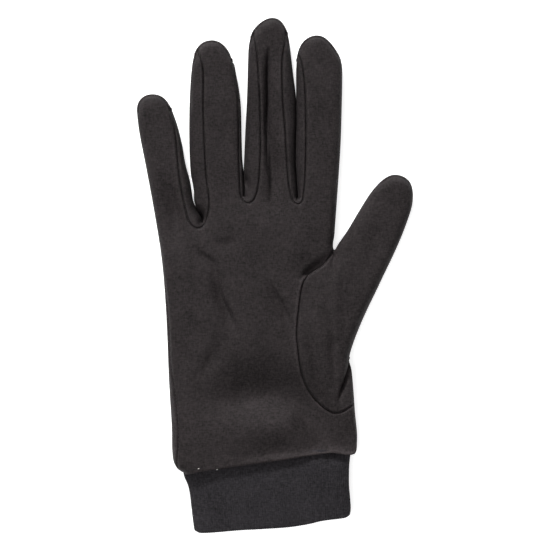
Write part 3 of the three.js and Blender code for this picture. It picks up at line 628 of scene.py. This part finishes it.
def back_seam(line):
    """The seam of a fourchette on the back of the hand, set in from the outline and run out at the
    fingertips."""
    ahead = np.gradient(line, axis=0)
    ahead /= np.hypot(*ahead.T)[:, None]
    inward = np.column_stack([ahead[:, 1], -ahead[:, 0]])
    run = np.concatenate([[0], np.cumsum(np.hypot(*np.diff(line, axis=0).T))])
    depth = back_inset * fade(np.minimum(run, run[-1] - run), back_run_out)
    return line + inward * depth[:, None]


webs = {name: (place_on_edge(line[0]), place_on_edge(line[-1])) for name, line in seams.items()}
back_seams = {name: back_seam(edge[a : b + 1]) for name, (a, b) in webs.items()}
top_loop = []
under_loop = []
at = 0
for name, (a, b) in webs.items():
    top_loop += [(edge[at : a + 1], "edge"), (seams[name], "seam")]
    under_loop += [(edge[at : a + 1], "edge"), (back_seams[name], "seam")]
    at = b
index_side = (edge[at : crotch + 1], "edge")
top_loop += [index_side, (thumb_line, "seam"), (edge[thumb_foot:], "edge"), (wrist, "open")]
under_loop += [index_side, (fold_line, "seam"), (edge[heel:], "edge"), (wrist, "open")]
both_sides = (0, -0.3, 0.3, -0.65, 0.65, -1.1, 1.1)
trank_guides = [(side_line, both_sides), (smooth(middle_crease), both_sides)]
fine = {"flip": False, "rows": top_rows}
coarse = {"flip": True, "rows": under_rows}
trank_top = sheet(
    top_loop, hand_top, hand_edge_height, pitch=0.95, painted_highlight=hand_painted_highlight, guides=trank_guides, **fine
)
trank_under = sheet(under_loop, hand_under, hand_edge_height, pitch=2.0, **coarse)
trank = cloth_piece("trank", [trank_top, trank_under])


def add(tree, kind, inputs=(), **settings):
    """Adds a node of a kind with its settings and its inputs."""
    node = tree.nodes.new(kind)
    for setting, value in settings.items():
        setattr(node, setting, value)
    fill(tree, node, dict(inputs))
    return node


def math_node(tree, operation, *values):
    """Adds a Math node and returns its output."""
    return add(tree, "ShaderNodeMath", dict(enumerate(values)), operation=operation).outputs[0]


loop_slant = 1.6  # how far the two legs of a loop climb across half a column
loop_swing = 0.35  # how much lower the cloth is between two loops of a column
mid_height = 0.4
height_shade = 0.12
streaks_across, streaks_along, clouds = (1500, 620, 900), (520, 1600, 900), (85, 70, 80)


def knit_group():
    """Fine plain knit: upright columns of V-shaped loops, with grain and cloudiness where the yarn and its
    pull are uneven. Tone runs from dark to pale, and Height from the gaps to the tops of the loops."""
    group = bpy.data.node_groups.new("plain_knit", "ShaderNodeTree")
    group.interface.new_socket("Place", in_out="INPUT", socket_type="NodeSocketVector")
    sizes = (("Column Width", 0.6 * mm), ("Loop Height", 0.5 * mm), ("Grain", 1.0), ("Cloud", 0.4))
    for name, value in sizes:
        group.interface.new_socket(name, in_out="INPUT", socket_type="NodeSocketFloat").default_value = value
    for name in ("Tone", "Height"):
        group.interface.new_socket(name, in_out="OUTPUT", socket_type="NodeSocketFloat")
    given = add(group, "NodeGroupInput").outputs
    split = add(group, "ShaderNodeSeparateXYZ", {0: given["Place"]}).outputs
    across = math_node(group, "DIVIDE", split["X"], given["Column Width"])
    along = math_node(group, "DIVIDE", split["Y"], given["Loop Height"])
    in_column = math_node(group, "PINGPONG", across, 0.5)
    rise = math_node(group, "MULTIPLY_ADD", in_column, loop_slant, along)
    loop = math_node(group, "SINE", math_node(group, "MULTIPLY", rise, 2 * math.pi))
    column = math_node(group, "SINE", math_node(group, "MULTIPLY", in_column, 2 * math.pi))
    swing = math_node(group, "MULTIPLY_ADD", loop, loop_swing, 1 - loop_swing)
    height = math_node(group, "MULTIPLY", column, swing)

    def streaks(scale):
        """Unevenness of the yarn, drawn out along one direction. The scale is in bumps per metre."""
        stretched = add(group, "ShaderNodeVectorMath", {0: given["Place"], 1: scale}, operation="MULTIPLY")
        bumps = {"Vector": stretched.outputs[0], "Scale": 1.0, "Detail": 2.0}
        return math_node(group, "SUBTRACT", add(group, "ShaderNodeTexNoise", bumps).outputs[0], 0.5)

    grain = math_node(group, "ADD", streaks(streaks_across), streaks(streaks_along))
    over_middle = math_node(group, "SUBTRACT", height, mid_height)
    tone = math_node(group, "MULTIPLY_ADD", grain, given["Grain"], 0.5)
    tone = math_node(group, "MULTIPLY_ADD", streaks(clouds), given["Cloud"], tone)
    tone = math_node(group, "MULTIPLY_ADD", over_middle, height_shade, tone)
    tops = math_node(group, "MULTIPLY_ADD", grain, 0.5, height)
    add(group, "NodeGroupOutput", {"Tone": tone, "Height": tops})
    return group


plain_knit = knit_group()


def shade(colour, share):
    """A colour made darker or paler, as a shader takes it."""
    return (*(share * part for part in colour), 1)


def mixed(tree, factor, first, second):
    """Adds a Mix node between two colours and returns its output."""
    inputs = {"Factor": factor, "A": first, "B": second}
    return add(tree, "ShaderNodeMix", inputs, data_type="RGBA").outputs["Result"]


# The palest share here is the colour of the painted highlight along the seams and the wrist lip.
tones = {"gap": 0.3, "loop": 1.7, "highlighted": 2.2}  # shares of the cloth's colour
relief = 0.06 * mm
polish = 0.12  # how much smoother the loops are than the gaps


def fabric(name, colour, grain, roughness, shine):
    """A cloth material from its knit: dark gaps and paler loops, made paler still by the painted highlight
    along the seam ridges and the wrist lip.
    """
    made, tree, shader = material(name)
    place = add(tree, "ShaderNodeTexCoord").outputs["Object"]
    knit = add(tree, "ShaderNodeGroup", {"Place": place, "Grain": grain}, node_tree=plain_knit).outputs
    yarn = mixed(tree, knit["Tone"], shade(colour, tones["gap"]), shade(colour, tones["loop"]))
    painted_highlight = add(tree, "ShaderNodeAttribute", attribute_name="painted_highlight").outputs["Fac"]
    # Painted highlight: the loops turn paler where the attribute lies, along the seams and the wrist lip.
    highlighted_loops = math_node(tree, "MULTIPLY", painted_highlight, knit["Tone"])
    bump = add(tree, "ShaderNodeBump", {"Strength": 0.5, "Distance": relief, "Height": knit["Height"]})
    fill(tree, shader, {
        "Base Color": mixed(tree, highlighted_loops, yarn, shade(colour, tones["highlighted"])),
        "Roughness": math_node(tree, "MULTIPLY_ADD", knit["Tone"], -polish, roughness + polish / 2),
        "Normal": bump.outputs["Normal"],
        "Specular IOR Level": shine, "Sheen Weight": 0.01, "Sheen Roughness": 0.4,
    })
    return made


jersey = fabric("silk_jersey", (0.0265, 0.0222, 0.0228), grain=1.0, roughness=0.72, shine=0.12)
trank.data.materials.append(jersey)
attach(trank, "root")
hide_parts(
    "trank_palm", "trank_back", "trank_back_little", "trank_back_ring", "trank_back_middle",
    "trank_back_index",
)

# Fourchettes: three U-shaped strips of the same jersey, sewn between the palm and the back to make the
# sides of neighbouring fingers. Each runs from one fingertip down round the crotch to the next.
# This jersey is coloured a little darker than the trank's, a painted shade for the finger sides that lie
# between the fingers.
shaded_gusset_jersey = fabric("shaded_gusset_jersey", (0.025, 0.021, 0.0216), grain=0.9, roughness=0.72, shine=0.12)
for name, (a, b) in webs.items():
    between = (edge[a : b + 1], "edge")
    top_strip = [between, (seams[name][::-1], "seam")]
    under_strip = [between, (back_seams[name][::-1], "seam")]
    sides = [
        sheet(top_strip, hand_top, hand_edge_height, pitch=0.8, painted_highlight=hand_painted_highlight, **fine),
        sheet(under_strip, hand_under, hand_edge_height, pitch=1.4, **coarse),
    ]
    strip = cloth_piece(f"fourchette_{name}", sides)
    strip.data.materials.append(shaded_gusset_jersey)
    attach(strip, "root")
    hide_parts(f"fourchette_{name}")

# Thumb: one cloth folded round and set into a hole in the palm by the long U-shaped seam, so that it stands
# a little higher than the palm and its free half leans away from the hand.
crown_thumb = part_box("thumb")[1].z / mm
thumb_stations = [
    {"at": (24, -58), "crown": 0.76 * crown_thumb, "edge": 5.4},
    {"at": (22, -40), "crown": 0.93 * crown_thumb, "edge": 5.4},
    {"at": (24, -18), "crown": 1.0 * crown_thumb, "edge": 6.4},
    {"at": (30, 2), "crown": 0.97 * crown_thumb, "edge": 5.4},
    {"at": (38, -30), "crown": 0.93 * crown_thumb, "edge": 6.2},
    {"at": (44, 6), "crown": 0.86 * crown_thumb, "edge": 6.2},
    {"at": (50, 22), "crown": 0.76 * crown_thumb, "edge": 5.2},
    {"at": (58, 40), "crown": 0.62 * crown_thumb, "edge": 4.2},
    {"at": (36, -58), "crown": 0.75 * crown_thumb, "edge": 5.4},
]
thumb_folds = [
    {"path": heel_crease, "reach": (1.7, 0.6), "sink": (2.6, 5.0, 4.6, 1.2), "crease": True, "hold": 1.0},
    {"path": [(27.6, -23.0), (27.3, -36.0), (28.0, -52.0)], "reach": (1.7, 2.2),
     "sink": (0.1, 1.4, 1.3, 0.4)},
    {"path": [(17.0, -31.0), (19.0, -45.0), (22.0, -58.0)], "reach": (1.4, 2.0), "sink": (0.3, 1.5, 1.1)},
    {"path": [(28.9, 4.0), (28.7, -12.0), (29.2, -29.0)], "reach": (2.2, 2.2), "sink": (-0.3, -0.9, -0.6)},
    {"path": [(51.0, 27.0), (47.0, 14.0), (44.0, 4.0)], "reach": (3.5, 3.5), "sink": (0.2, 0.7, 0.5)},
    {"path": [(35.0, 10.0), (42.0, 0.0), (46.0, -6.0)], "reach": (4.0, 4.0), "sink": (0.6, 0.6, 0.1)},
]
thumb_rise = 11.0  # width over which the thumb swells up from its seam
round_share = 0.55  # how much of that swell is a round, the rest being a soft slope
thumb_tip = {"from": 38.0, "length": 8.0}
thumb_layer = 9.0
under_thumb = {"height": 4.6, "reach": 10.0}  # how its lower side rises to the fold
thumb_edge = edge[crotch : thumb_foot + 1]


def thumb_edge_height(points):
    return blended(points, thumb_stations, "edge")


def thumb_top(points):
    """The upper side of the thumb, which swells up from the palm beside its seam."""
    away = nearest(points, thumb_edge)[0]
    beside_seam = nearest(points, thumb_line)[0]
    tip = fade(points[:, 1] - thumb_tip["from"], thumb_tip["length"])
    height, rim = puffed(away, thumb_edge_height(points), blended(points, thumb_stations, "crown"), tip)
    height += rim + crumpled(points, away, thumb_layer)
    from_palm = hand_top(points)
    swell = round_share * arch(beside_seam / thumb_rise) + (1 - round_share) * fade(beside_seam, thumb_rise)
    height = np.where(beside_seam < thumb_rise, from_palm + (height - from_palm) * swell, height)
    return np.maximum(height - sunk(points, thumb_folds, away), least_height)


def thumb_under(points):
    """The lower side of the thumb, which rises to its outline and to the fold."""
    away = nearest(points, thumb_edge)[0]
    from_fold = nearest(points, fold_line)[0]
    bed = thumb_edge_height(points) * (1 - arch(away / bed_round))
    return np.maximum(bed, under_thumb["height"] * (1 - arch(from_fold / under_thumb["reach"])))


# A faint painted highlight beside the thumb's seam.
def thumb_painted_highlight(points):
    return highlight_band(points, thumb_line, most=0.25, away=0.8, reach=0.5)


thumb_over = sheet(
    [(thumb_edge, "edge"), (thumb_line[::-1], "seam")], thumb_top, thumb_edge_height, pitch=0.85,
    painted_highlight=thumb_painted_highlight, guides=[(smooth(heel_crease), both_sides)], **fine,
)
thumb_below = sheet(
    [(edge[crotch : heel + 1], "edge"), (fold_line[::-1], "seam")], thumb_under, thumb_edge_height, pitch=1.6,
    **coarse,
)
thumb = cloth_piece("thumb", [thumb_over, thumb_below])
thumb.data.materials.append(jersey)
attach(thumb, "root")
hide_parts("thumb")

# Cuff: a tube of fine rib knit, folded double at the hem and sewn to the wrist inside the turned-in edge of
# the trank, so that its ribs run towards the hand.
cuff_left = [
    (-43.3, -93.0), (-42.7, -95.8), (-41.1, -99.4), (-40.2, -103.3), (-39.7, -107.2), (-38.9, -114.6),
    (-38.1, -121.2),
]
cuff_right = [
    (36.0, -84.6), (35.5, -88.5), (35.3, -93.0), (35.3, -99.6), (35.8, -106.0), (36.1, -110.5),
    (35.8, -114.0),
]
hem = [
    (-38.1, -121.2), (-36.3, -122.0), (-31.7, -121.9), (-17.4, -120.6), (-5.0, -119.9), (7.8, -119.0),
    (16.8, -117.6), (23.0, -116.2), (30.0, -115.4), (34.4, -114.9), (35.8, -114.0),
]
cuff_tuck = 4.4
cuff_wall = 1.5
rib_pitch = 1.06
rib_depth = 0.1
rib_columns = 8
cuff_rows = 20
girth_steps = 4000
side_power, top_power = 0.9, 0.55  # 1 and 1 would make the tube's section an ellipse
hem_drop = 0.05  # how much lower the top is at the hem, as a share
floor_room = {"least": 0.2, "more": 0.9, "share": 0.25}  # the bottom rises off the table near the wrist
lip_dip = {"depth": 0.55, "share": 0.03}  # the top dips under the lip of the trank
hem_turns = 7
wrist_shares = [0, 0.01, 0.022, 0.036]  # rings close together at that dip
first_even_share = 0.055
inner_step = 4  # the inner wall has one ring for so many of the outer wall's


def along_line(line, shares):
    """Points of a line at shares of its length."""
    run = np.concatenate([[0], np.cumsum(np.hypot(*np.diff(line, axis=0).T))])
    return np.column_stack([np.interp(shares * run[-1], run, line[:, k]) for k in (0, 1)])


def signed_power(value, power):
    """A power of the size of a value, with the value's sign."""
    return np.sign(value) * np.abs(value) ** power


hem_line, left_side, right_side = smooth(hem), smooth(cuff_left), smooth(cuff_right)


def cuff_ring(turn, share, inset, past):
    """One ring of the cuff: its share of the way from lip to hem, drawn in by inset and moved on by past."""
    spread = 0.5 - 0.5 * signed_power(np.cos(turn), side_power)
    left = along_line(left_side, np.array([share]))[0]
    right = along_line(right_side, np.array([share]))[0]
    y = left[1] + (right[1] - left[1]) * spread - past
    for line, weight in ((wrist[::-1], 1 - share), (hem_line, share)):
        level = along_line(line, spread)[:, 1]
        y += weight * (level - np.interp(spread, [0, 1], [line[0, 1], line[-1, 1]]))
    x = (left[0] + inset) + (right[0] - left[0] - 2 * inset) * spread
    bottom = floor_room["least"] + floor_room["more"] * max(0, 1 - share / floor_room["share"])
    top = cuff_top * (1 - hem_drop * share) - lip_dip["depth"] * math.exp(-share / lip_dip["share"])
    half = (top - bottom) / 2
    z = bottom + half + (half - inset) * signed_power(np.sin(turn), top_power)
    return np.column_stack([x, y, z])


# The ribs are even along the girth of the middle ring, so its turns are measured along it first.
even = np.linspace(0, 2 * math.pi, girth_steps + 1)
middle_ring = cuff_ring(even, 0.5, 0, 0)
girth = np.concatenate([[0], np.cumsum(np.linalg.norm(np.diff(middle_ring, axis=0), axis=1))])
rib_count = round(girth[-1] / rib_pitch)
cuff_columns = rib_count * rib_columns
rounds = np.arange(cuff_columns) / cuff_columns
turns = np.interp(rounds * girth[-1], girth, even)
even_shares = np.linspace(first_even_share, 1, cuff_rows - len(wrist_shares))
shares = np.concatenate([wrist_shares, even_shares])
# The rings run down the outer wall, round the turn of the hem and up the inner wall.
rings = [cuff_ring(turns, 0, 0, -cuff_tuck)]
rings += [cuff_ring(turns, share, 0, 0) for share in shares[:-1]]
for angle in np.linspace(0, math.pi, hem_turns):
    reach = cuff_wall / 2 * (1 - math.cos(angle))
    rings.append(cuff_ring(turns, 1, reach, cuff_wall / 2 * (math.sin(angle) - 1)))
rings += [cuff_ring(turns, share, cuff_wall, 0) for share in shares[-2::-inner_step]]
rings.append(cuff_ring(turns, 0, cuff_wall, -cuff_tuck))
cuff_faces = []
for r in range(len(rings)):
    here, beyond = r * cuff_columns, (r + 1) % len(rings) * cuff_columns
    for k in range(cuff_columns):
        on = (k + 1) % cuff_columns
        cuff_faces.append((here + k, here + on, beyond + on, beyond + k))
cuff_mesh = bpy.data.meshes.new("cuff")
cuff_mesh.from_pydata([tuple(p) for p in np.vstack(rings) * mm], [], cuff_faces)
smooth_faces(cuff_mesh)
cuff_mesh.attributes.new("round", "FLOAT", "POINT").data.foreach_set("value", np.tile(rounds, len(rings)))
cuff = stand("cuff", cuff_mesh)


def tree_with(name, inputs):
    """A Geometry Nodes tree that gives its result a material. Returns the tree, its inputs and its end."""
    tree = bpy.data.node_groups.new(name, "GeometryNodeTree")
    tree.is_modifier = True
    for label, kind in {"Geometry": "Geometry", **inputs}.items():
        tree.interface.new_socket(label, in_out="INPUT", socket_type=f"NodeSocket{kind}")
    tree.interface.new_socket("Geometry", in_out="OUTPUT", socket_type="NodeSocketGeometry")
    given = add(tree, "NodeGroupInput").outputs
    end = add(tree, "GeometryNodeRealizeInstances")
    covered = {"Geometry": end.outputs[0], "Material": given["Material"]}
    add(tree, "NodeGroupOutput", {0: add(tree, "GeometryNodeSetMaterial", covered).outputs[0]})
    return tree, given, end


def grow(piece, tree, values):
    """Runs a Geometry Nodes tree with its input values on a piece, and keeps the result as its mesh."""
    modifier = piece.modifiers.new(tree.name, "NODES")
    modifier.node_group = tree
    for item in tree.interface.items_tree:
        if item.in_out == "INPUT" and item.name in values:
            modifier[item.identifier] = values[item.name]
    graph = bpy.context.evaluated_depsgraph_get()
    piece.data = bpy.data.meshes.new_from_object(piece.evaluated_get(graph))
    piece.modifiers.clear()
    piece.data.name = piece.name


rib_inputs = {"Rib Count": "Float", "Rib Depth": "Float", "Material": "Material"}
ribs, given, end = tree_with("knit_ribs", rib_inputs)
around = add(ribs, "GeometryNodeInputNamedAttribute", {"Name": "round"}, data_type="FLOAT")
phase = math_node(ribs, "MULTIPLY", around.outputs["Attribute"], given["Rib Count"])
wave = math_node(ribs, "COSINE", math_node(ribs, "MULTIPLY", phase, 2 * math.pi))
sink = math_node(ribs, "MULTIPLY_ADD", wave, 0.5, -0.5)
drop = math_node(ribs, "MULTIPLY", sink, given["Rib Depth"])
normal = add(ribs, "GeometryNodeInputNormal").outputs[0]
outward = add(ribs, "ShaderNodeVectorMath", {0: normal, "Scale": drop}, operation="SCALE").outputs[0]
press = add(ribs, "GeometryNodeSetPosition", {"Geometry": given["Geometry"], "Offset": outward})
fill(ribs, end, {0: press.outputs[0]})

rib_knit = fabric("rib_knit", (0.0258, 0.0238, 0.0266), grain=1.0, roughness=0.8, shine=0.1)
grow(cuff, ribs, {"Rib Count": float(rib_count), "Rib Depth": rib_depth * mm, "Material": rib_knit})
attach(cuff, "root")
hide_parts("cuff")

# Stitching: the black silk thread of the seams, whose small stitches lie in the grooves of the fourchettes,
# of the thumb and of the outer side, and two pale ends of tacking thread at the edge of the wrist.
stitch = {"Pitch": 1.5 * mm, "Length": 0.8 * mm, "Thickness": 0.16 * mm}
tack = {"Pitch": 0.3 * mm, "Length": 0.5 * mm, "Thickness": 0.4 * mm}
unevenness = 0.35
stitch_inputs = {
    "Pitch": "Float", "Length": "Float", "Thickness": "Float", "Unevenness": "Float", "Seed": "Int",
    "Material": "Material",
}
stitching, given, end = tree_with("seam_stitches", stitch_inputs)
path = add(stitching, "GeometryNodeMeshToCurve", {0: given["Geometry"]}).outputs[0]
evenly = {"Curve": path, "Length": given["Pitch"]}
places = add(stitching, "GeometryNodeResampleCurve", evenly, mode="LENGTH").outputs[0]
tangent = add(stitching, "GeometryNodeInputTangent").outputs[0]
turned = add(stitching, "FunctionNodeAlignRotationToVector", {"Vector": tangent}, axis="X").outputs[0]
thread_bit = add(stitching, "GeometryNodeMeshUVSphere", {"Segments": 8, "Rings": 6, "Radius": 0.5})
least = math_node(stitching, "SUBTRACT", 1.0, given["Unevenness"])
drawn = {2: least, 3: 1.0, "Seed": given["Seed"]}
uneven = add(stitching, "FunctionNodeRandomValue", drawn, data_type="FLOAT").outputs[1]
length = math_node(stitching, "MULTIPLY", given["Length"], uneven)
size = add(stitching, "ShaderNodeCombineXYZ", {0: length, 1: given["Thickness"], 2: given["Thickness"]})
sew = add(stitching, "GeometryNodeInstanceOnPoints", {
    "Points": places, "Instance": thread_bit.outputs["Mesh"], "Rotation": turned, "Scale": size.outputs[0],
})
fill(stitching, end, {0: sew.outputs[0]})


twist_scale = 4000
thread_shades = {"low": 0.6, "high": 1.4}


def thread_material(name, colour, roughness):
    """Twisted sewing thread."""
    made, tree, shader = material(name)
    place = add(tree, "ShaderNodeTexCoord").outputs["Object"]
    twist = add(tree, "ShaderNodeTexNoise", {"Vector": place, "Scale": twist_scale}).outputs[0]
    strand = mixed(tree, twist, shade(colour, thread_shades["low"]), shade(colour, thread_shades["high"]))
    fill(tree, shader, {"Base Color": strand, "Roughness": roughness})
    return made


def sewn(name, lines, sizes, material, seed):
    """Stitches along lines of points."""
    mesh = bpy.data.meshes.new(name)
    points = [tuple(p) for line in lines for p in line * mm]
    starts = np.cumsum([0] + [len(line) for line in lines])
    edges = [(i, i + 1) for a, b in zip(starts[:-1], starts[1:]) for i in range(a, b - 1)]
    mesh.from_pydata(points, edges, [])
    made = stand(name, mesh)
    grow(made, stitching, {**sizes, "Unevenness": unevenness, "Seed": seed, "Material": material})
    smooth_faces(made.data)
    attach(made, "root")


def laid(line, lift):
    """A line of the plan laid on the upper side of the hand, short of its two ends."""
    inner = line[2:-2]
    return np.column_stack([inner, hand_top(inner) + lift])


thread = thread_material("black_thread", (0.03, 0.027, 0.027), 0.5)
pale_thread = thread_material("pale_thread", (0.75, 0.74, 0.72), 0.7)
sewn("finger_stitches", [laid(line, 0.12) for line in seams.values()], stitch, thread, seed=3)
sewn("thumb_stitches", [laid(thumb_line, 0.1)], stitch, thread, seed=5)
sewn("side_stitches", [laid(side_line, 0.12)], stitch, thread, seed=7)
tack_ends = [((-36.0, -91.0), (-35.3, -90.8)), ((-27.4, -91.5), (-26.6, -91.4))]
tack_lines = [laid(np.linspace(a, b, 9), 0.15) for a, b in tack_ends]
sewn("tack_ends", tack_lines, tack, pale_thread, seed=11)
